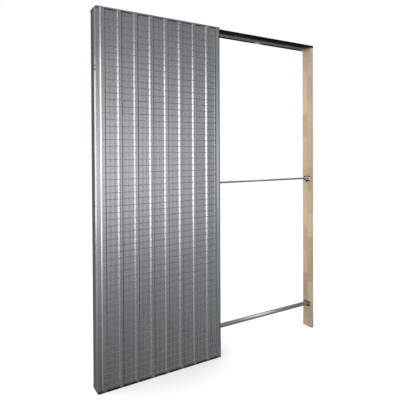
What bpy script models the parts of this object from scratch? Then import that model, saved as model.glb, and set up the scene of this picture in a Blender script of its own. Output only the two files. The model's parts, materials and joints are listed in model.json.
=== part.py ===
"""Sliding pocket-door frame kit: ribbed steel cassette, header with track,
timber strike jamb, two removable spacer bars and two roller carriages.

Metres, +Z up, front face towards -Y, origin at the middle of the footprint.
Dimensions below are millimetres measured from the closed end of the cassette
(x), from the middle of the thickness (y) and from the floor (z). The end
post's web stands 4 mm beyond x = 0.
"""
import math

import bmesh
import bpy
from mathutils import Matrix, Vector

# ---- driving dimensions (mm) ------------------------------------------------
WIDTH = 1690.0            # corner of the closed end to the outer jamb face
WEB_X = -4.0              # the end post's web stands this far beyond its corners
MIDDLE_X = (WEB_X + WIDTH) / 2
HEIGHT = 2185.0           # floor to the top of the cassette
HALF_T = 56.0             # half of the overall thickness
CASSETTE_W = 826.0        # closed end to the mouth
SHEET = 1.0               # ribbed panel sheet
FOLD = 1.5                # folded posts, channels and plates
GAP = 0.3                 # between pieces that touch

RIB_FIRST = 25.0          # left foot of the first rib on the even pitch
FIRST_LEAD = 3.5          # the first rib starts this much nearer the closed end
RIB_PITCH = 98.9
RIB_COUNT = 8
RIB_FLANK = 7.0           # run of each sloping flank
RIB_CREST = 18.0          # flat crest
VALLEY_Y = 45.0           # outer face of the sheet in the valleys
CREST_Y = 53.0            # outer face of the sheet on the crests
JOGGLE_Y = 46.0           # outer face along the mouth edge, past a small joggle
PANEL_X = (6.0, 796.5)

MESH_Y = (53.3, 55.7)     # welded wire skin
MESH_X = (33.0, 795.0)
MESH_Z = (12.0, 2168.0)
MESH_WIRE = 2.4
MESH_ROWS = 10            # every sixth horizontal wire of the real skin

END_LIP = 21.2            # end of the end post's flanges, level with the first rib's foot
END_Y = 46.9              # outer face of those flanges, just outside the valleys
CAP_LIP = 8.0             # depth of the top channel's lips
HEADER_Y = 46.5
HEADER_Z = (2150.0, 2176.0)
HEADER_FRONT_Z = 2158.5   # lower edge of the front leg, which is the shorter one
TRACK_Y = 17.3            # half width of the track
TRACK_Z = (2150.6, 2174.2)
TRACK_WALL = 1.8
TRACK_SLOT = 6.0          # half width of the slot
TRACK_X = (30.0, 1669.4)

JAMB_X = (1670.0, 1690.0)
JAMB_Y = 44.7
MORTISE_DEPTH = 10.0

BAR_Z = {"mid": 1156.0, "low": 181.0}   # middle height of each spacer bar
BAR_Y = 24.0
BAR_X = (829.0, 1669.4)
BAR_T = 8.0

WHEEL_R = 9.0
WHEEL_W = 6.0
WHEEL_BORE = 2.7
AXLE_R = 2.5
CARRIAGE_X = {"front": 770.0, "rear": 130.0}
AXLE_DX = 22.0
WHEEL_Z = TRACK_Z[0] + TRACK_WALL + WHEEL_R + GAP
ROUND = 20                # segments round a wheel

M = 0.001


def at(x, y, z):
    """Millimetres from the closed end's corner to metres in the part's frame."""
    return Vector(((x - MIDDLE_X) * M, y * M, z * M))


for old in list(bpy.data.objects):
    bpy.data.objects.remove(old, do_unlink=True)

# ---- materials --------------------------------------------------------------


def finish(name, colour, rough, metal):
    mat = bpy.data.materials.new(name)
    mat.use_nodes = True
    bsdf = mat.node_tree.nodes["Principled BSDF"]
    bsdf.inputs["Base Color"].default_value = (*colour, 1.0)
    bsdf.inputs["Roughness"].default_value = rough
    bsdf.inputs["Metallic"].default_value = metal
    mat.diffuse_color = (*colour, 1.0)
    return mat


GALV = finish("galvanised_sheet", (0.55, 0.57, 0.58), 0.38, 0.9)
WIRE = finish("galvanised_wire", (0.42, 0.44, 0.45), 0.45, 0.9)
ZINC = finish("bright_zinc", (0.66, 0.67, 0.68), 0.28, 1.0)
DARK = finish("black_painted_steel", (0.018, 0.018, 0.02), 0.42, 0.1)
ALU = finish("mill_aluminium", (0.6, 0.61, 0.62), 0.35, 1.0)
PINE = finish("jointed_pine", (0.56, 0.42, 0.28), 0.6, 0.0)
NYLON = finish("white_nylon", (0.75, 0.75, 0.72), 0.5, 0.0)
RUBBER = finish("black_rubber", (0.03, 0.03, 0.03), 0.8, 0.0)

# ---- modelling helpers ------------------------------------------------------


def put(name, bm, mat, origin=None):
    """Object from a bmesh in world metres, with its origin moved to a point."""
    bmesh.ops.recalc_face_normals(bm, faces=bm.faces)
    if origin is not None:
        bmesh.ops.translate(bm, verts=bm.verts, vec=-origin)
    mesh = bpy.data.meshes.new(name)
    bm.to_mesh(mesh)
    bm.free()
    obj = bpy.data.objects.new(name, mesh)
    if origin is not None:
        obj.location = origin
    bpy.context.scene.collection.objects.link(obj)
    if mat is not None:
        mesh.materials.append(mat)
    return obj


def prism_bm(points, axis, lo, hi):
    """A closed outline extruded along x, y or z. Outline pairs are the other
    two coordinates in x, y, z order."""
    def place(p, t):
        a, b = p
        if axis == "x":
            return at(t, a, b)
        if axis == "y":
            return at(a, t, b)
        return at(a, b, t)

    bm = bmesh.new()
    face = bm.faces.new([bm.verts.new(place(p, lo)) for p in points])
    grown = bmesh.ops.extrude_face_region(bm, geom=[face])
    moved = [v for v in grown["geom"] if isinstance(v, bmesh.types.BMVert)]
    shift = place(points[0], hi) - place(points[0], lo)
    bmesh.ops.translate(bm, verts=moved, vec=shift)
    return bm


def prism(name, points, axis, lo, hi, mat, origin=None):
    return put(name, prism_bm(points, axis, lo, hi), mat, origin)


def rect(a0, a1, b0, b1):
    return [(a0, b0), (a1, b0), (a1, b1), (a0, b1)]


def box(name, x, y, z, mat, origin=None):
    return prism(name, rect(x[0], x[1], y[0], y[1]), "z", z[0], z[1], mat, origin)


def turned(name, axis, centre, profile, mat, segments=ROUND, origin=None):
    """Solid of revolution. Profile is a closed loop of (radius, distance
    along the axis) pairs; a radius of 0 closes on the axis."""
    bm = bmesh.new()
    rings = []
    for r, t in profile:
        if r == 0:
            rings.append([bm.verts.new((0, 0, t))])
        else:
            rings.append([
                bm.verts.new((r * math.cos(a), r * math.sin(a), t))
                for a in (2 * math.pi * i / segments for i in range(segments))
            ])
    pairs = list(zip(rings, rings[1:] + rings[:1]))
    for one, two in pairs:
        if len(one) == 1 and len(two) == 1:
            continue
        for i in range(segments):
            j = (i + 1) % segments
            if len(one) == 1:
                bm.faces.new((one[0], two[i], two[j]))
            elif len(two) == 1:
                bm.faces.new((one[i], two[0], one[j]))
            else:
                bm.faces.new((one[i], two[i], two[j], one[j]))
    turn = {
        "z": Matrix.Identity(4),
        "y": Matrix.Rotation(-math.pi / 2, 4, "X"),
        "x": Matrix.Rotation(math.pi / 2, 4, "Y"),
    }[axis]
    bmesh.ops.scale(bm, vec=(M, M, M), verts=bm.verts)
    bmesh.ops.transform(bm, matrix=turn, verts=bm.verts)
    bmesh.ops.translate(bm, verts=bm.verts, vec=at(*centre))
    obj = put(name, bm, mat, origin)
    obj.data.shade_smooth()
    obj.data.set_sharp_from_angle(angle=math.radians(35))
    return obj


def rod(name, axis, centre, r, half, mat, segments=12, origin=None):
    return turned(name, axis, centre, [(0, -half), (r, -half), (r, half), (0, half)],
                  mat, segments, origin)


def helper(obj):
    obj.hide_render = True
    obj.display_type = "WIRE"
    return obj


def cut(target, *cutters):
    for cutter in cutters:
        helper(cutter)
        mod = target.modifiers.new("cut_" + cutter.name, "BOOLEAN")
        mod.operation = "DIFFERENCE"
        mod.object = cutter


def join(target, *others):
    for other in others:
        helper(other)
        mod = target.modifiers.new("join_" + other.name, "BOOLEAN")
        mod.operation = "UNION"
        mod.object = other


def flipped(points):
    """The same outline mirrored in y."""
    return [(x, -y) for x, y in points]


# ---- cassette ---------------------------------------------------------------


def ribbed_outline():
    """Front panel outline in x, y: outer face out and back along the inside."""
    outer = [(PANEL_X[0], -VALLEY_Y)]
    for k in range(RIB_COUNT):
        x = RIB_FIRST + k * RIB_PITCH
        lead = 0.0 if k else FIRST_LEAD
        outer += [
            (x - lead, -VALLEY_Y),
            (x + RIB_FLANK - lead, -CREST_Y),
            (x + RIB_FLANK + RIB_CREST, -CREST_Y),
            (x + 2 * RIB_FLANK + RIB_CREST, -VALLEY_Y),
        ]
    outer += [(787.0, -VALLEY_Y), (788.0, -JOGGLE_Y), (PANEL_X[1], -JOGGLE_Y)]
    # the inside face is the outer line moved in by the sheet, with the flanks
    # shifted so that they keep the same thickness
    lean = SHEET * math.tan(math.radians(24.4))
    inner = [(PANEL_X[0], -VALLEY_Y + SHEET)]
    for k in range(RIB_COUNT):
        x = RIB_FIRST + k * RIB_PITCH
        lead = 0.0 if k else FIRST_LEAD
        inner += [
            (x + lean - lead, -VALLEY_Y + SHEET),
            (x + RIB_FLANK + lean - lead, -CREST_Y + SHEET),
            (x + RIB_FLANK + RIB_CREST - lean, -CREST_Y + SHEET),
            (x + 2 * RIB_FLANK + RIB_CREST - lean, -VALLEY_Y + SHEET),
        ]
    inner += [(787.0 + lean, -VALLEY_Y + SHEET), (788.0 + lean, -JOGGLE_Y + SHEET),
              (PANEL_X[1], -JOGGLE_Y + SHEET)]
    return outer + inner[::-1]


PANEL_Z = (FOLD + GAP, HEIGHT - FOLD - GAP)
prism("front_ribbed_panel", ribbed_outline(), "z", *PANEL_Z, GALV)
prism("rear_ribbed_panel", flipped(ribbed_outline()), "z", *PANEL_Z, GALV)


def lattice(name, y0, y1, mat):
    """Welded wire skin as one body: uprights on the rib crests and level
    wires between them, all in one thickness."""
    half = MESH_WIRE / 2
    mids = [RIB_FIRST + RIB_FLANK + RIB_CREST / 2 + k * RIB_PITCH for k in range(RIB_COUNT)]
    ups = [MESH_X[0] + half] + mids[1:] + [MESH_X[1] - half]
    step = (MESH_Z[1] - MESH_Z[0] - MESH_WIRE) / (MESH_ROWS - 1)
    levels = [MESH_Z[0] + half + i * step for i in range(MESH_ROWS)]
    xs = sorted(v for m in ups for v in (m - half, m + half))
    zs = sorted(v for m in levels for v in (m - half, m + half))
    bm = bmesh.new()
    grid = {}

    def vert(i, j, side):
        key = (i, j, side)
        if key not in grid:
            grid[key] = bm.verts.new(at(xs[i], (y0, y1)[side], zs[j]))
        return grid[key]

    def solid(i, j):
        inside = 0 <= i < len(xs) - 1 and 0 <= j < len(zs) - 1
        return inside and (i % 2 == 0 or j % 2 == 0)

    for i in range(len(xs) - 1):
        for j in range(len(zs) - 1):
            if not solid(i, j):
                continue
            for side in (0, 1):
                bm.faces.new([vert(i, j, side), vert(i + 1, j, side),
                              vert(i + 1, j + 1, side), vert(i, j + 1, side)])
            for (a, b), (di, dj) in (
                (((0, 0), (1, 0)), (0, -1)), (((1, 0), (1, 1)), (1, 0)),
                (((1, 1), (0, 1)), (0, 1)), (((0, 1), (0, 0)), (-1, 0)),
            ):
                if not solid(i + di, j + dj):
                    bm.faces.new([vert(i + a[0], j + a[1], 0), vert(i + b[0], j + b[1], 0),
                                  vert(i + b[0], j + b[1], 1), vert(i + a[0], j + a[1], 1)])
    return put(name, bm, mat)


lattice("front_plaster_mesh", -MESH_Y[1], -MESH_Y[0], WIRE)
lattice("rear_plaster_mesh", MESH_Y[0], MESH_Y[1], WIRE)

# end post: folded channel that wraps the closed end, with leaning shoulders
END_OUT = [(END_LIP, -END_Y), (0.0, -END_Y), (WEB_X, -30.0), (WEB_X, 30.0), (0.0, END_Y), (END_LIP, END_Y)]
END_IN = [(END_LIP, END_Y - FOLD), (1.3, END_Y - FOLD), (WEB_X + FOLD, 29.8), (WEB_X + FOLD, -29.8),
          (1.3, -END_Y + FOLD), (END_LIP, -END_Y + FOLD)]
end_post = prism("cassette_end_post", END_OUT + END_IN, "z", FOLD + GAP, HEIGHT - FOLD - GAP, GALV)
cut(end_post, *[
    # two tie slots, through the front shoulder
    box("tie_slot_cutter_%d" % i, (-9, 4), (-43.5, -32.5), (z - 5, z + 5), None)
    for i, z in enumerate((1832.0, 1851.5))
])

POST = [(775.0, -42.2), (775.0, -43.7), (797.0, -43.7), (797.0, -50.0), (799.0, -50.0),
        (812.0, -55.5), (820.0, -55.5), (826.0, -51.5), (826.0, -40.0), (824.5, -40.0),
        (824.5, -50.7), (819.5, -54.0), (812.3, -54.0), (799.6, -48.5), (798.5, -48.5),
        (798.5, -42.2)]
POST_Z = (FOLD + GAP, HEIGHT - CAP_LIP - GAP)
prism("front_mouth_post", POST, "z", *POST_Z, GALV)
prism("rear_mouth_post", flipped(POST), "z", *POST_Z, GALV)

# top channel: full-length web, lips only beside the panels
TOP = HEIGHT - FOLD
cap = box("cassette_top_channel", (0.0, CASSETTE_W), (-HALF_T, HALF_T), (TOP, HEIGHT), GALV)
join(cap,
     box("top_lip_front", (0.0, CASSETTE_W), (-HALF_T, -HALF_T + FOLD), (HEIGHT - CAP_LIP, HEIGHT - 0.5), None),
     box("top_lip_rear", (0.0, CASSETTE_W), (HALF_T - FOLD, HALF_T), (HEIGHT - CAP_LIP, HEIGHT - 0.5), None))
box("cassette_base_plate", (0.0, CASSETTE_W), (-55.5, 55.5), (0.0, FOLD), DARK)

prism("pocket_buffer", [(WEB_X + FOLD + GAP, 1000.0), (26.0, 1000.0), (38.0, 1008.0), (38.0, 1032.0),
                        (26.0, 1040.0), (WEB_X + FOLD + GAP, 1040.0)], "y", -12.0, 12.0, RUBBER)

prism("floor_guide", [(-12.0, 1.8), (12.0, 1.8), (12.0, 4.8), (3.0, 6.0), (3.0, 15.0), (2.0, 16.0),
                      (-2.0, 16.0), (-3.0, 15.0), (-3.0, 6.0), (-12.0, 4.8)], "x", 785.0, 821.0, NYLON)

# ---- header and track -------------------------------------------------------
HY, HZ0, HZ1 = HEADER_Y, *HEADER_Z
header = prism("header_channel", [
    (-HY, HEADER_FRONT_Z), (-HY + FOLD, HEADER_FRONT_Z), (-HY + FOLD, HZ1 - FOLD), (HY - FOLD, HZ1 - FOLD),
    (HY - FOLD, HZ0), (HY, HZ0), (HY, HZ1), (-HY, HZ1),
], "x", CASSETTE_W + GAP, WIDTH, DARK)
splice = box("header_splice_plate", (780.0, 880.0), (-30.0, 30.0), (HZ1 + GAP, HZ1 + GAP + 3.0), ZINC)

TY, TZ0, TZ1, TW, TS = TRACK_Y, *TRACK_Z, TRACK_WALL, TRACK_SLOT
prism("sliding_track", [
    (-TY, TZ0), (-TS, TZ0), (-TS, TZ0 + TW), (-TY + TW, TZ0 + TW), (-TY + TW, TZ1 - TW),
    (TY - TW, TZ1 - TW), (TY - TW, TZ0 + TW), (TS, TZ0 + TW), (TS, TZ0), (TY, TZ0),
    (TY, TZ1), (-TY, TZ1),
], "x", *TRACK_X, ALU)

for n, x in enumerate((220.0, 440.0, 660.0), 1):
    # saddle between the cassette top and the track, with lips beside the track
    prism("track_hanger_%d" % n, [
        (-20.0, 2164.0), (-TY - GAP, 2164.0), (-TY - GAP, TZ1 + GAP), (TY + GAP, TZ1 + GAP),
        (TY + GAP, 2164.0), (20.0, 2164.0), (20.0, TOP - GAP), (-20.0, TOP - GAP),
    ], "x", x - 15, x + 15, ZINC)

for name, x0, x1 in (("track_clip_middle", 1186.0, 1231.0), ("track_clip_jamb", 1632.0, 1664.0)):
    prism(name, [(TY + 0.6, 2151.2), (44.4, 2151.2), (44.4, 2166.0), (42.9, 2166.0),
                 (42.9, 2152.7), (TY + 0.6, 2152.7)], "x", x0, x1, ZINC)

for name, x0, x1 in (("pocket_track_stop", 50.0, 75.0), ("jamb_track_stop", 1600.0, 1625.0)):
    prism(name, [(-15.0, TZ0 + TW + GAP), (15.0, TZ0 + TW + GAP), (15.0, 2168.0), (11.0, TZ1 - TW - GAP),
                 (-11.0, TZ1 - TW - GAP), (-15.0, 2168.0)], "x", x0, x1, RUBBER)

# ---- screws: pan head and shank turned as one -------------------------------


def screw(name, axis, head_face, point, side, head_r=4.0, head_h=2.5, shank_r=2.0, mat=ZINC):
    """Head stands from head_face on the side given, shank runs to point."""
    # distances are along the axis from the head's seat
    length = abs(head_face["xyz".index(axis)] - point)
    prof = [(0, -length * side), (shank_r, -length * side), (shank_r, 0), (head_r, 0),
            (head_r, 0.6 * head_h * side), (0.7 * head_r, head_h * side), (0, head_h * side)]
    return turned(name, axis, head_face, prof, mat, 12)


def hole(name, axis, centre, r, half):
    return rod(name, axis, centre, r, half, None, 12)


# ---- strike jamb ------------------------------------------------------------
jamb = box("strike_jamb", JAMB_X, (-JAMB_Y, JAMB_Y), (0.0, HZ1 - FOLD - GAP), PINE)
for which, z in BAR_Z.items():
    cut(jamb, prism(which + "_mortise_cutter", [
        (-33.0, z + 16), (33.0, z + 16), (33.0, z - 14), (8.0, z - 26), (-8.0, z - 26), (-33.0, z - 14),
    ], "x", JAMB_X[0] - 5, JAMB_X[0] + MORTISE_DEPTH, None))
    cut(jamb, hole(which + "_bracket_pilot", "x", (JAMB_X[0] + 14.0, 0, z - 5.0), 2.3, 5.5))
for side, y in (("front", -25.0), ("rear", 25.0)):
    cut(jamb, hole(side + "_header_pilot", "z", (1680.0, y, HZ1 - 22.0), 2.3, 22.0))
    cut(header, hole(side + "_header_hole", "z", (1680.0, y, HZ1), 2.3, 4.0))
    screw("header_screw_" + side, "z", (1680.0, y, HZ1 + GAP), HZ1 - 40.0, 1)

cut(header, hole("splice_header_hole", "z", (860.0, 0, HZ1), 2.3, 4.0))
cut(splice, hole("splice_plate_hole", "z", (860.0, 0, HZ1 + 2.0), 2.3, 4.0))
screw("splice_screw", "z", (860.0, 0, HZ1 + 2 * GAP + 3.0), HZ1 - 1.3, 1)

# ---- spacer bars ------------------------------------------------------------
for which, z in BAR_Z.items():
    top = z + BAR_T / 2
    bar = prism(which + "_spacer_bar", [
        (-BAR_Y, z - BAR_T / 2), (-BAR_Y + FOLD, z - BAR_T / 2), (-BAR_Y + FOLD, top - FOLD),
        (BAR_Y - FOLD, top - FOLD), (BAR_Y - FOLD, z - BAR_T / 2), (BAR_Y, z - BAR_T / 2),
        (BAR_Y, top), (-BAR_Y, top),
    ], "x", *BAR_X, GALV, at(BAR_X[0], 0, z))
    ledge = (top - 2 * FOLD - GAP, top - FOLD - GAP)
    # plate that hangs on the two mouth posts, with a ledge up inside the bar
    mouth = box(which + "_bar_mouth_plate", (CASSETTE_W + GAP, CASSETTE_W + GAP + FOLD), (-50.0, 50.0),
                (z - 14.0, ledge[1]), GALV, at(BAR_X[0], 0, z))
    join(mouth, box(which + "_mouth_ledge", (CASSETTE_W + GAP + 0.5, 868.0), (-21.5, 21.5), ledge, None))
    # hat-shaped bracket seated in the mortise, with the same ledge
    x0 = JAMB_X[0] + 2.0
    seat = JAMB_X[0] + MORTISE_DEPTH - GAP
    bracket = prism(which + "_bar_jamb_bracket", [
        (x0, -28.0), (seat, -28.0), (seat, -26.5), (x0 + FOLD, -26.5), (x0 + FOLD, 26.5),
        (seat, 26.5), (seat, 28.0), (x0, 28.0),
    ], "z", z - 10.0, z + 9.0, ZINC)
    join(bracket, box(which + "_jamb_ledge", (1632.0, x0 + 1.0), (-21.5, 21.5), ledge, None))
    cut(bracket, hole(which + "_bracket_hole", "x", (x0, 0, z - 5.0), 2.3, 4.0),
        hole(which + "_ledge_hole", "z", (1650.0, 0, z), 2.3, 9.0))
    screw(which + "_bracket_screw", "x", (x0 - GAP, 0, z - 5.0), JAMB_X[0] + 18.0, -1, 3.4, 1.6)
    for end, x in (("mouth", 848.0), ("jamb", 1650.0)):
        cut(bar, hole("%s_%s_bar_hole" % (which, end), "z", (x, 0, z), 2.3, 9.0))
        screw("%s_bar_%s_screw" % (which, end), "z", (x, 0, top + GAP), z - 5.0, 1, 4.5, 2.4)
    cut(mouth, hole(which + "_mouth_ledge_hole", "z", (848.0, 0, z), 2.3, 9.0))

# ---- roller carriages -------------------------------------------------------
for which, xc in CARRIAGE_X.items():
    frame = box(which + "_carriage_body", (xc - 34, xc + 34), (-5.2, 5.2),
                (WHEEL_Z - 6.2, WHEEL_Z + 6.8), ZINC, at(xc, 0, WHEEL_Z))
    cut(frame, hole(which + "_bolt_bore", "z", (xc, 0, WHEEL_Z), 4.4, 12.0))
    for end, dx in (("lead", AXLE_DX), ("trail", -AXLE_DX)):
        spot = (xc + dx, 0, WHEEL_Z)
        cut(frame, hole("%s_%s_axle_bore" % (which, end), "y", spot, AXLE_R + GAP, 9.0))
        rod("%s_%s_axle" % (which, end), "y", spot, AXLE_R, 13.0, ZINC, 12, at(*spot))
        for side, sy in (("near", -1), ("far", 1)):
            mid = (xc + dx, sy * (6.0 + WHEEL_W / 2), WHEEL_Z)
            w, r = WHEEL_W / 2, WHEEL_R
            turned("%s_%s_wheel_%s" % (which, end, side), "y", mid, [
                (WHEEL_BORE, -w), (r - 0.8, -w), (r, -w + 0.8), (r, w - 0.8), (r - 0.8, w), (WHEEL_BORE, w),
            ], NYLON, ROUND, at(*mid))
    # hanger: bolt, lock nut and the plate that is screwed to a door's top edge
    rod(which + "_hanger_bolt", "z", (xc, 0, 2136.65), 4.0, 29.35, ZINC, 14, at(xc, 0, 2112.0))
    plate = box(which + "_hanger_plate", (xc - 38, xc + 38), (-14, 14), (2104.0, 2112.0), ZINC,
                at(xc, 0, 2112.0))
    cut(plate, rod(which + "_plate_socket", "z", (xc, 0, 2112.0), 4.4, 5.0, None, 14),
        hole(which + "_plate_hole_a", "z", (xc - 28, 0, 2108.0), 2.6, 8.0),
        hole(which + "_plate_hole_b", "z", (xc + 28, 0, 2108.0), 2.6, 8.0))
    nut_r = 6.5 / math.cos(math.pi / 6)
    nut = prism(which + "_lock_nut", [
        (xc + nut_r * math.cos(math.radians(60 * i)), nut_r * math.sin(math.radians(60 * i)))
        for i in range(6)
    ], "z", 2112.3, 2118.8, ZINC, at(xc, 0, 2112.3))
    cut(nut, hole(which + "_nut_bore", "z", (xc, 0, 2115.0), 4.4, 8.0))
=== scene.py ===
import json
import math

import bmesh
import bpy
import numpy as np
from mathutils import Matrix, Vector

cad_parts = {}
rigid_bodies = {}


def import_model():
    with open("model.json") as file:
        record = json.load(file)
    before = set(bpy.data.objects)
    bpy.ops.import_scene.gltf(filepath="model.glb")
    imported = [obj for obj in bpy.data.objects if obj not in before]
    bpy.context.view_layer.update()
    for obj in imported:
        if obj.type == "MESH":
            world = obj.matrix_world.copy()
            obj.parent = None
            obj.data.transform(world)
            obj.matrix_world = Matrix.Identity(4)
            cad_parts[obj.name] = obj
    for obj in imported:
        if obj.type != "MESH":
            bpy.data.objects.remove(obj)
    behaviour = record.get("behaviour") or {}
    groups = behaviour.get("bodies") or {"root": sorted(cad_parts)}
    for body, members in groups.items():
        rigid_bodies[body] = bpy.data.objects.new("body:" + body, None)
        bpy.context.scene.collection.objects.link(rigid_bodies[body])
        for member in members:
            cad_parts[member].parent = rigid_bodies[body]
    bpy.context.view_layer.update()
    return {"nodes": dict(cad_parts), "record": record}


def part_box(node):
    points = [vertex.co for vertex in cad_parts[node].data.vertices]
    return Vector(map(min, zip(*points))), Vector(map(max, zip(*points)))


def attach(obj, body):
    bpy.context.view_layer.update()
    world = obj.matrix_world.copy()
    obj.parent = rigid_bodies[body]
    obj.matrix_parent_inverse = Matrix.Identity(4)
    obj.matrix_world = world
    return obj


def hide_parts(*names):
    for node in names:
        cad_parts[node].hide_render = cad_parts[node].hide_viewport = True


for old in list(bpy.data.objects):
    bpy.data.objects.remove(old, do_unlink=True)

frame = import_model()
nodes = frame["nodes"]


def X(mm):
    """Millimetres from the closed end of the cassette to metres."""
    return (mm - 843.0) / 1000.0


# ---- materials ------------------------------------------------------------


class Nodes:
    """A small helper round one material's node tree."""

    def __init__(self, name, colour, rough, metal):
        self.mat = bpy.data.materials.new(name)
        self.mat.use_nodes = True
        self.tree = self.mat.node_tree
        self.shader = self.tree.nodes["Principled BSDF"]
        self.shader.inputs["Base Color"].default_value = (*colour, 1)
        self.shader.inputs["Roughness"].default_value = rough
        self.shader.inputs["Metallic"].default_value = metal
        self.coord = self.tree.nodes.new("ShaderNodeTexCoord")

    def new(self, kind, **inputs):
        node = self.tree.nodes.new(kind)
        for key, value in inputs.items():
            node.inputs[key.replace("_", " ")].default_value = value
        return node

    def link(self, a, b):
        self.tree.links.new(a, b)

    def scaled(self, sx, sy, sz, shift=(0, 0, 0)):
        m = self.tree.nodes.new("ShaderNodeMapping")
        m.inputs["Scale"].default_value = (sx, sy, sz)
        m.inputs["Location"].default_value = shift
        self.link(self.coord.outputs["Object"], m.inputs["Vector"])
        return m.outputs["Vector"]

    def noise(self, vector, scale=1.0, detail=3.0, rough=0.55, distort=0.0):
        n = self.tree.nodes.new("ShaderNodeTexNoise")
        n.inputs["Scale"].default_value = scale
        n.inputs["Detail"].default_value = detail
        n.inputs["Roughness"].default_value = rough
        n.inputs["Distortion"].default_value = distort
        self.link(vector, n.inputs["Vector"])
        return n.outputs["Fac"]

    def cells(self, vector, scale=1.0):
        n = self.tree.nodes.new("ShaderNodeTexVoronoi")
        n.inputs["Scale"].default_value = scale
        self.link(vector, n.inputs["Vector"])
        return n.outputs["Color"]

    def ramp(self, value, stops):
        r = self.tree.nodes.new("ShaderNodeValToRGB")
        el = r.color_ramp.elements
        while len(el) < len(stops):
            el.new(0.5)
        for e, (at, c) in zip(el, stops):
            e.position = at
            e.color = (*c, 1) if len(c) == 3 else c
        self.link(value, r.inputs["Fac"])
        return r.outputs["Color"]

    def maths(self, op, a, b):
        m = self.tree.nodes.new("ShaderNodeMath")
        m.operation = op
        for k, v in enumerate((a, b)):
            if isinstance(v, (int, float)):
                m.inputs[k].default_value = v
            else:
                self.link(v, m.inputs[k])
        return m.outputs[0]

    def remap(self, value, a, b, c, d):
        m = self.tree.nodes.new("ShaderNodeMapRange")
        for k, v in zip(("From Min", "From Max", "To Min", "To Max"), (a, b, c, d)):
            m.inputs[k].default_value = v
        self.link(value, m.inputs["Value"])
        return m.outputs["Result"]

    def mix(self, fac, a, b, kind="MIX"):
        m = self.tree.nodes.new("ShaderNodeMix")
        m.data_type = "RGBA"
        m.blend_type = kind
        for k, v in ((0, fac), (6, a), (7, b)):
            if isinstance(v, (int, float)):
                m.inputs[k].default_value = v
            elif isinstance(v, tuple):
                m.inputs[k].default_value = (*v, 1)
            else:
                self.link(v, m.inputs[k])
        return m.outputs[2]

    def bump(self, height, strength, distance):
        b = self.tree.nodes.new("ShaderNodeBump")
        b.inputs["Strength"].default_value = strength
        b.inputs["Distance"].default_value = distance
        self.link(height, b.inputs["Height"])
        self.link(b.outputs["Normal"], self.shader.inputs["Normal"])

    def colour(self, out):
        self.link(out, self.shader.inputs["Base Color"])

    def rough(self, out):
        self.link(out, self.shader.inputs["Roughness"])


def galvanised(name, tint, rough, spangle=70.0, streak=True):
    """Zinc coat: faint crystal spangle, rolling streaks along the sheet, dull patches."""
    n = Nodes(name, tint, rough, 1.0)
    cells = n.cells(n.scaled(1, 1, 1), spangle)
    cell = n.remap(cells, 0, 1, -1, 1)
    lines = n.noise(n.scaled(140, 140, 1.1), 1.0, 4.0, 0.6)
    patch = n.noise(n.scaled(2.2, 2.2, 1.6), 1.0, 5.0, 0.6, 0.4)
    base = n.mix(n.remap(patch, 0.3, 0.7, 0.0, 1.0), tuple(0.90 * c for c in tint), tuple(min(1, 1.07 * c) for c in tint))
    base = n.mix(0.22 if streak else 0.08, base, n.ramp(lines, [(0.3, (0.42, 0.43, 0.44)), (0.7, (0.78, 0.79, 0.80))]))
    base = n.mix(0.05, base, n.ramp(cell, [(0.0, (0.40, 0.41, 0.42)), (1.0, (0.80, 0.81, 0.82))]))
    n.colour(base)
    r = n.maths("ADD", n.remap(patch, 0.3, 0.7, rough - 0.02, rough + 0.03), n.remap(cell, -1, 1, -0.01, 0.01))
    n.rough(r)
    return n.mat


def bar_zinc(name):
    """Galvanised channel: rolling streaks along its length; the folded edges are rougher, and their colour is darkened
    as painted shade.
    """
    n = Nodes(name, (0.50, 0.52, 0.54), 0.25, 1.0)
    sep = n.tree.nodes.new("ShaderNodeSeparateXYZ")
    n.link(n.coord.outputs["Object"], sep.inputs[0])
    lines = n.noise(n.scaled(1.5, 160, 160), 1.0, 4.0, 0.6)
    fine = n.noise(n.scaled(40, 220, 220), 1.0, 3.0, 0.6)
    away = n.maths("ABSOLUTE", sep.outputs["Y"], 0.0)
    # painted shade: the colour darkens along the folded edges, and the same mask makes them rougher
    edge = n.remap(n.maths("ADD", away, n.remap(fine, 0.3, 0.7, -0.0008, 0.0008)), 0.0120, 0.0165, 0.0, 1.0)
    middle = n.mix(n.remap(lines, 0.3, 0.7, 0.0, 1.0), (0.47, 0.49, 0.51), (0.55, 0.57, 0.59))
    n.colour(n.mix(edge, middle, (0.40, 0.415, 0.43)))
    n.rough(n.maths("ADD", n.maths("MULTIPLY", edge, 0.26), n.remap(fine, 0.3, 0.7, 0.22, 0.27)))
    return n.mat


def welded_wire(name):
    """Drawn wire, hot dipped after welding, with a cloudy tone; its tone by height is painted light: lighter towards
    the foot as a painted highlight, duller above, and a plain mid grey from about 1.6 m up.
    """
    n = Nodes(name, (0.44, 0.46, 0.47), 0.42, 1.0)
    sep = n.tree.nodes.new("ShaderNodeSeparateXYZ")
    n.link(n.coord.outputs["Object"], sep.inputs[0])
    cloud = n.noise(n.scaled(60, 60, 60), 1.0, 3.0, 0.6)
    cloudy_height = n.maths("ADD", sep.outputs["Z"], n.remap(cloud, 0.3, 0.7, -0.12, 0.12))
    dull = n.mix(n.remap(cloud, 0.3, 0.7, 0.0, 1.0), (0.33, 0.35, 0.36), (0.40, 0.42, 0.43))
    # painted highlight: the wire is coloured lighter towards the foot, standing in for the light it catches there
    light = n.mix(n.remap(cloudy_height, 0.18, 0.80, 1.0, 0.0), dull, (0.78, 0.81, 0.84))
    n.colour(n.mix(n.remap(cloudy_height, 1.60, 1.95, 0.0, 1.0), light, (0.46, 0.48, 0.49)))
    n.rough(n.remap(cloud, 0.3, 0.7, 0.38, 0.48))
    return n.mat


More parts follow.
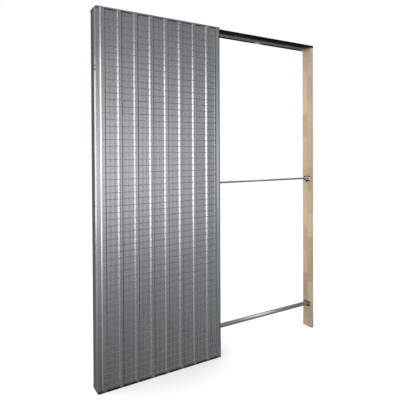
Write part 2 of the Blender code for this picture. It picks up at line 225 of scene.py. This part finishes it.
def plated(name, tint, rough, metal=1.0):
    """Bright zinc plate with fine handling marks."""
    n = Nodes(name, tint, rough, metal)
    fine = n.noise(n.scaled(260, 260, 260), 1.0, 4.0, 0.6)
    cloud = n.noise(n.scaled(30, 30, 30), 1.0, 3.0, 0.5)
    n.colour(n.mix(n.remap(cloud, 0.3, 0.7, 0, 1), tuple(0.88 * c for c in tint), tint))
    n.rough(n.remap(fine, 0.3, 0.7, rough - 0.06, rough + 0.08))
    n.bump(fine, 0.05, 0.0002)
    return n.mat


def black_paint(name):
    """Satin black coat over folded sheet: slight orange peel, greyer along rubbed patches."""
    n = Nodes(name, (0.004, 0.004, 0.005), 0.5, 0.0)
    n.shader.inputs["Specular IOR Level"].default_value = 0.11
    peel = n.noise(n.scaled(420, 420, 420), 1.0, 2.0, 0.5)
    rub = n.noise(n.scaled(3, 40, 40), 1.0, 5.0, 0.7)
    n.colour(n.mix(n.remap(rub, 0.52, 0.75, 0.0, 1.0), (0.003, 0.003, 0.004), (0.009, 0.009, 0.010)))
    n.rough(n.remap(rub, 0.3, 0.8, 0.36, 0.52))
    n.bump(peel, 0.10, 0.0002)
    return n.mat


def timber(name):
    """Finger-jointed planed softwood: grain along the height, each block its own tone."""
    n = Nodes(name, (0.341, 0.262, 0.182), 0.62, 0.0)
    # block number along the height, with a zigzag joint line
    sep = n.tree.nodes.new("ShaderNodeSeparateXYZ")
    n.link(n.coord.outputs["Object"], sep.inputs[0])
    saw = n.maths("PINGPONG", sep.outputs["Y"], 0.0045)
    # two staves glued side by side, with their joints staggered
    stave = n.maths("GREATER_THAN", sep.outputs["Y"], -0.004)
    joint = n.maths("ADD", sep.outputs["Z"], n.maths("MULTIPLY", saw, 2.2))
    joint = n.maths("ADD", joint, n.maths("MULTIPLY", stave, 7.37))
    block = n.maths("FLOOR", n.maths("MULTIPLY", joint, 1 / 0.177), 0.0)
    tone = n.tree.nodes.new("ShaderNodeTexWhiteNoise")
    tone.noise_dimensions = "1D"
    n.link(block, tone.inputs["W"])
    offset = n.tree.nodes.new("ShaderNodeCombineXYZ")
    n.link(n.maths("MULTIPLY", tone.outputs["Value"], 3.0), offset.inputs["Y"])
    n.link(n.maths("MULTIPLY", tone.outputs["Value"], 7.0), offset.inputs["Z"])
    add = n.tree.nodes.new("ShaderNodeVectorMath")
    add.operation = "ADD"
    n.link(n.coord.outputs["Object"], add.inputs[0])
    n.link(offset.outputs[0], add.inputs[1])
    m = n.tree.nodes.new("ShaderNodeMapping")
    m.inputs["Scale"].default_value = (95, 95, 2.0)
    n.link(add.outputs[0], m.inputs["Vector"])
    rings = n.noise(m.outputs[0], 1.0, 3.0, 0.5, 0.8)
    m2 = n.tree.nodes.new("ShaderNodeMapping")
    m2.inputs["Scale"].default_value = (900, 900, 14)
    n.link(add.outputs[0], m2.inputs["Vector"])
    pores = n.noise(m2.outputs[0], 1.0, 2.0, 0.6)
    grain = n.ramp(rings, [(0.30, (0.365, 0.277, 0.189)), (0.5, (0.414, 0.328, 0.237)), (0.62, (0.365, 0.274, 0.182)), (0.75, (0.292, 0.201, 0.122))])
    toned = n.mix(n.remap(tone.outputs["Value"], 0.15, 0.85, 0.0, 1.0), grain, (0.295, 0.218, 0.146))
    toned = n.mix(n.remap(tone.outputs["Color"], 0, 1, 0.0, 0.30), toned, (0.44, 0.30, 0.20))
    toned = n.mix(n.remap(pores, 0.55, 0.8, 0.0, 0.25), toned, (0.206, 0.140, 0.085))
    edge = n.maths("PINGPONG", n.maths("MULTIPLY", joint, 1 / 0.177), 0.5)
    line = n.remap(edge, 0.0, 0.0028, 0.55, 0.0)
    wood = n.mix(line, toned, (0.134, 0.085, 0.049))
    # painted shade and light by height: darker towards the foot and the head, lighter at about 1.6 m
    shade = n.ramp(n.maths("MULTIPLY", sep.outputs["Z"], 1 / 2.2), [
        (0.05, (0.84, 0.83, 0.81)), (0.28, (0.98, 0.97, 0.94)), (0.46, (1.06, 1.05, 1.03)),
        (0.74, (1.12, 1.12, 1.12)), (0.84, (1.06, 1.06, 1.06)), (0.95, (0.96, 0.96, 0.96))])
    wood = n.mix(1.0, wood, shade, "MULTIPLY")
    # painted shade: inside the routed pockets for the bar brackets the timber is coloured near black, standing in for
    # the shade in these recesses
    deep = n.maths("MULTIPLY", n.maths("GREATER_THAN", sep.outputs["X"], X(1670.6)),
                   n.maths("LESS_THAN", sep.outputs["X"], X(1689.2)))
    inner = n.maths("LESS_THAN", n.maths("ABSOLUTE", sep.outputs["Y"], 0.0), 0.0335)
    near = None
    for middle in (1.156, 0.181):
        gap = n.maths("ABSOLUTE", n.maths("SUBTRACT", sep.outputs["Z"], middle), 0.0)
        one = n.maths("LESS_THAN", gap, 0.0275)
        near = one if near is None else n.maths("MAXIMUM", near, one)
    pocket_shade = n.maths("MULTIPLY", n.maths("MULTIPLY", deep, inner), near)
    n.colour(n.mix(pocket_shade, wood, (0.030, 0.021, 0.014)))
    n.rough(n.remap(rings, 0.3, 0.7, 0.56, 0.72))
    n.bump(pores, 0.12, 0.0003)
    return n.mat


def moulded(name, colour, rough):
    """Moulded plastic or rubber: fine matt texture with slight colour drift."""
    n = Nodes(name, colour, rough, 0.0)
    fine = n.noise(n.scaled(600, 600, 600), 1.0, 3.0, 0.5)
    drift = n.noise(n.scaled(25, 25, 25), 1.0, 2.0, 0.5)
    n.colour(n.mix(n.remap(drift, 0.3, 0.7, 0, 1), tuple(0.86 * c for c in colour), colour))
    n.rough(n.remap(fine, 0.3, 0.7, rough - 0.07, rough + 0.07))
    n.bump(fine, 0.15, 0.0002)
    return n.mat


SHEET = galvanised("galvanised_sheet", (0.552, 0.59, 0.62), 0.26)
FOLDED = galvanised("galvanised_folded", (0.542, 0.58, 0.61), 0.24)
WIRE = welded_wire("galvanised_wire")
ZINC = plated("bright_zinc", (0.78, 0.79, 0.80), 0.22)
BAR = bar_zinc("galvanised_bar")
# painted highlight: a near-white, part-metal coat that stands in for the bright highlight on the middle jamb bracket
BRACKET = plated("mid_bracket_painted_highlight", (0.93, 0.93, 0.92), 0.46, 0.35)
CLIP = plated("dull_zinc", (0.5, 0.5, 0.5), 0.5, 0.4)
BLACK = black_paint("black_paint")
ALU = plated("mill_aluminium", (0.66, 0.67, 0.69), 0.34)
WOOD = timber("jointed_timber")
NYLON = moulded("white_nylon", (0.74, 0.74, 0.71), 0.42)
RUBBER = moulded("black_rubber", (0.022, 0.022, 0.023), 0.7)

LOOK = {
    "galvanised_sheet": FOLDED, "galvanised_wire": WIRE, "bright_zinc": ZINC,
    "black_paint": BLACK, "mill_aluminium": ALU, "jointed_timber": WOOD,
    "white_nylon": NYLON, "black_rubber": RUBBER,
}
slot_of = {s["node"]: s["material_slot"] for s in frame["record"]["subparts"]}
for name, obj in nodes.items():
    mat = LOOK[slot_of[name]]
    if name.endswith("ribbed_panel"):
        mat = SHEET
    if name.endswith("spacer_bar"):
        mat = BAR
    # painted highlight: only the middle bracket gets this near-white coat
    if name == "mid_bar_jamb_bracket":
        mat = BRACKET
    if name == "track_clip_middle":
        mat = CLIP
    obj.data.materials.clear()
    obj.data.materials.append(mat)

# ---- wire mesh -------------------------------------------------------------


def rod(bm, a, b, r, sides=6):
    """A closed round bar from a to b."""
    a, b = Vector(a), Vector(b)
    d = (b - a).normalized()
    u = d.orthogonal().normalized()
    v = d.cross(u)
    rings = []
    for p in (a, b):
        rings.append([bm.verts.new(p + (u * math.cos(t) + v * math.sin(t)) * r)
                      for t in (2 * math.pi * k / sides for k in range(sides))])
    for k in range(sides):
        bm.faces.new((rings[0][k], rings[0][(k + 1) % sides], rings[1][(k + 1) % sides], rings[1][k]))
    bm.faces.new(rings[0][::-1])
    bm.faces.new(rings[1])


def made(name, bm, mat, body, smooth=True):
    bmesh.ops.recalc_face_normals(bm, faces=bm.faces)
    mesh = bpy.data.meshes.new(name)
    bm.to_mesh(mesh)
    bm.free()
    if smooth:
        mesh.shade_smooth()
        mesh.set_sharp_from_angle(angle=math.radians(40))
    mesh.materials.append(mat)
    obj = bpy.data.objects.new(name, mesh)
    bpy.context.scene.collection.objects.link(obj)
    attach(obj, body)
    return obj


PITCH_Z, PHASE_Z = 38.1, 1094.2
PITCH_X, PHASE_X = 28.57, 80.0
for side, sign in (("front", -1), ("rear", 1)):
    low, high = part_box(side + "_plaster_mesh")
    x0, x1, z0, z1 = low.x, high.x, low.z, high.z
    bm = bmesh.new()
    n0 = math.ceil((z0 * 1000 - PHASE_Z) / PITCH_Z)
    k = n0
    while PHASE_Z + k * PITCH_Z < z1 * 1000:
        z = (PHASE_Z + k * PITCH_Z) / 1000
        rod(bm, (x0, sign * 0.05385, z), (x1, sign * 0.05385, z), 0.00075)
        k += 1
    k = math.ceil(((x0 * 1000 + 843) - PHASE_X) / PITCH_X)
    while X(PHASE_X + k * PITCH_X) < x1:
        x = X(PHASE_X + k * PITCH_X)
        rod(bm, (x, sign * 0.0552, z0), (x, sign * 0.0552, z1), 0.0007)
        k += 1
    mesh_obj = made(side + "_welded_mesh", bm, WIRE, "root")
    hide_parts(side + "_plaster_mesh")

# hooks lanced out of the rib crests, which hold the mesh to the sheet
for side, sign in (("front", -1), ("rear", 1)):
    bm = bmesh.new()
    for rib in range(8):
        xc = 25 + 98.9 * rib + 27.0
        k = -28 + rib % 3
        while True:
            z = PHASE_Z + k * PITCH_Z
            k += 3
            if z > 2150:
                break
            if z < 40:
                continue
            for dz in (0.0,):
                lo = Vector((X(xc - 1.6), sign * 0.0531, (z - 5.5) / 1000))
                hi = Vector((X(xc + 1.6), sign * 0.0558, (z + 4.0) / 1000))
                pts = [(lo.x, 0.0531), (hi.x, 0.0531)]
                # an L-shaped tab: foot on the crest, tip over the wire
                prof = [(0.0531, z - 6.0), (0.0545, z - 5.0), (0.0558, z - 1.2), (0.0559, z + 2.6), (0.0554, z + 2.6), (0.0549, z - 1.4), (0.0531, z - 4.6)]
                a = [bm.verts.new((lo.x, sign * y, zz / 1000)) for y, zz in prof]
                b = [bm.verts.new((hi.x, sign * y, zz / 1000)) for y, zz in prof]
                bm.faces.new(a)
                bm.faces.new(b[::-1])
                for q in range(len(prof)):
                    bm.faces.new((a[q], a[(q + 1) % len(prof)], b[(q + 1) % len(prof)], b[q]))
    made(side + "_mesh_hooks", bm, FOLDED, "root", smooth=False)

# ---- camera, floor, light ---------------------------------------------------
yaw, pitch, roll, f_px, py = 0.53228, -0.01127, -0.00489, 405.79, 156.0
fwd = Vector((math.sin(yaw) * math.cos(pitch), math.cos(yaw) * math.cos(pitch), math.sin(pitch)))
right = Vector((math.cos(yaw), -math.sin(yaw), 0))
up = right.cross(fwd)
r = right * math.cos(roll) + up * math.sin(roll)
u = -right * math.sin(roll) + up * math.cos(roll)
cam_data = bpy.data.cameras.new("camera")
cam = bpy.data.objects.new("camera", cam_data)
bpy.context.scene.collection.objects.link(cam)
m = Matrix.Identity(4)
for row in range(3):
    m[row][0], m[row][1], m[row][2] = r[row], u[row], -fwd[row]
m[0][3], m[1][3], m[2][3] = -1.4966, -2.3023, 1.3643
cam.matrix_world = m
cam_data.sensor_width = 36.0
cam_data.lens = f_px / 400 * 36
cam_data.shift_y = -(199.5 - py) / 400
bpy.context.scene.camera = cam

bm = bmesh.new()
for x, y in ((-14, -14), (14, -14), (14, 14), (-14, 14)):
    bm.verts.new((x, y, -0.0005))
bm.faces.new(bm.verts)
mesh = bpy.data.meshes.new("floor")
bm.to_mesh(mesh)
bm.free()
floor_mat = Nodes("pale_floor", (0.93, 0.93, 0.93), 0.9, 0.0).mat
mesh.materials.append(floor_mat)
floor = bpy.data.objects.new("floor", mesh)
bpy.context.scene.collection.objects.link(floor)
floor.visible_glossy = False


def softbox(name, at, towards, w, h, power, glossy=True):
    light = bpy.data.lights.new(name, "AREA")
    light.shape = "RECTANGLE"
    light.size, light.size_y = w, h
    light.energy = power
    obj = bpy.data.objects.new(name, light)
    bpy.context.scene.collection.objects.link(obj)
    obj.location = at
    obj.rotation_mode = "QUATERNION"
    obj.rotation_quaternion = (Vector(towards) - Vector(at)).to_track_quat("-Z", "Y")
    obj.visible_glossy = glossy
    return obj


# radiance of each box times pi times its area gives its power
softbox("left_key", (-4.2, 0.25, 1.375), (4.0, 0.25, 1.375), 6.9, 2.75, 2.05 * math.pi * 19.0)
# the front light is stacked: brightest low on the left, fading to the right and
# upwards, so the sheet falls off along the cassette
for step, (x0, x1, z0, z1, radiance) in enumerate((
        (-1.2, 3.8, -0.8, 3.2, 0.08), (-1.2, 2.6, -0.1, 2.8, 0.23),
        (-1.2, 2.3, 0.35, 1.9, 0.21), (-1.2, 0.85, 0.5, 1.7, 0.22))):
    cx, cz = (x0 + x1) / 2, (z0 + z1) / 2
    # each stands a little behind the last, because a ray meets only one light in a plane
    softbox("front_%d" % step, (cx, -4.4 - 0.06 * step, cz), (cx, 4.0, cz), x1 - x0, z1 - z0,
            radiance * math.pi * (x1 - x0) * (z1 - z0))
# a small panel behind, which the low bar's top face picks up
panel = softbox("bar_panel", (3.15, 3.5, 2.05), (0.35, 0.0, 0.19), 0.42, 0.5, 2.6 * math.pi * 0.21)
panel.visible_camera = False
softbox("top_fill", (0, -1.5, 5.0), (0, 0, 1.0), 5.0, 5.0, 60, glossy=False)

scene = bpy.context.scene
scene.view_settings.view_transform = "Standard"

# white backdrop; even light for matt surfaces, and a darker room in reflections
world = bpy.data.worlds.new("studio")
scene.world = world
world.use_nodes = True
tree = world.node_tree
tree.nodes.clear()
out = tree.nodes.new("ShaderNodeOutputWorld")
path = tree.nodes.new("ShaderNodeLightPath")


def backdrop(strength):
    bg = tree.nodes.new("ShaderNodeBackground")
    bg.inputs["Color"].default_value = (1, 1, 1, 1)
    bg.inputs["Strength"].default_value = strength
    return bg


def curve(value, stops):
    """A value along -1..1 to a strength, by straight steps between stops."""
    shift = tree.nodes.new("ShaderNodeMath")
    shift.operation = "MULTIPLY_ADD"
    shift.inputs[1].default_value = shift.inputs[2].default_value = 0.5
    tree.links.new(value, shift.inputs[0])
    ramp = tree.nodes.new("ShaderNodeValToRGB")
    el = ramp.color_ramp.elements
    while len(el) < len(stops):
        el.new(0.5)
    for e, (where, v) in zip(el, stops):
        e.position = where * 0.5 + 0.5
        e.color = (v, v, v, 1)
    tree.links.new(shift.outputs[0], ramp.inputs["Fac"])
    return ramp.outputs["Color"]


def times(a, b):
    m = tree.nodes.new("ShaderNodeMath")
    m.operation = "MULTIPLY"
    for k, v in enumerate((a, b)):
        if isinstance(v, float):
            m.inputs[k].default_value = v
        else:
            tree.links.new(v, m.inputs[k])
    return m.outputs[0]


seen, even, room = backdrop(1.0), backdrop(1.12), backdrop(0.2)
direction = tree.nodes.new("ShaderNodeTexCoord")
split = tree.nodes.new("ShaderNodeSeparateXYZ")
tree.links.new(direction.outputs["Generated"], split.inputs[0])
# reflections: lighter below and to the left, darker to the right, and a dark
# card behind the closed end
height = curve(split.outputs["Z"], [(-0.6, 0.12), (-0.42, 0.16), (-0.34, 0.325), (-0.15, 0.33), (0.24, 0.25), (0.6, 0.30)])
side = curve(split.outputs["X"], [(-0.9, 0.95), (-0.35, 0.5), (0.6, 0.5), (0.85, 0.08)])
dot = tree.nodes.new("ShaderNodeVectorMath")
dot.operation = "DOT_PRODUCT"
dot.inputs[1].default_value = (-0.276, 0.961, 0.0)
tree.links.new(direction.outputs["Generated"], dot.inputs[0])
card = curve(dot.outputs["Value"], [(0.86, 1.0), (0.94, 0.35)])
tree.links.new(times(times(times(height, side), 2.0), card), room.inputs["Strength"])
mix1 = tree.nodes.new("ShaderNodeMixShader")
mix2 = tree.nodes.new("ShaderNodeMixShader")
tree.links.new(path.outputs["Is Glossy Ray"], mix1.inputs[0])
tree.links.new(even.outputs[0], mix1.inputs[1])
tree.links.new(room.outputs[0], mix1.inputs[2])
tree.links.new(path.outputs["Is Camera Ray"], mix2.inputs[0])
tree.links.new(mix1.outputs[0], mix2.inputs[1])
tree.links.new(seen.outputs[0], mix2.inputs[2])
tree.links.new(mix2.outputs[0], out.inputs["Surface"])
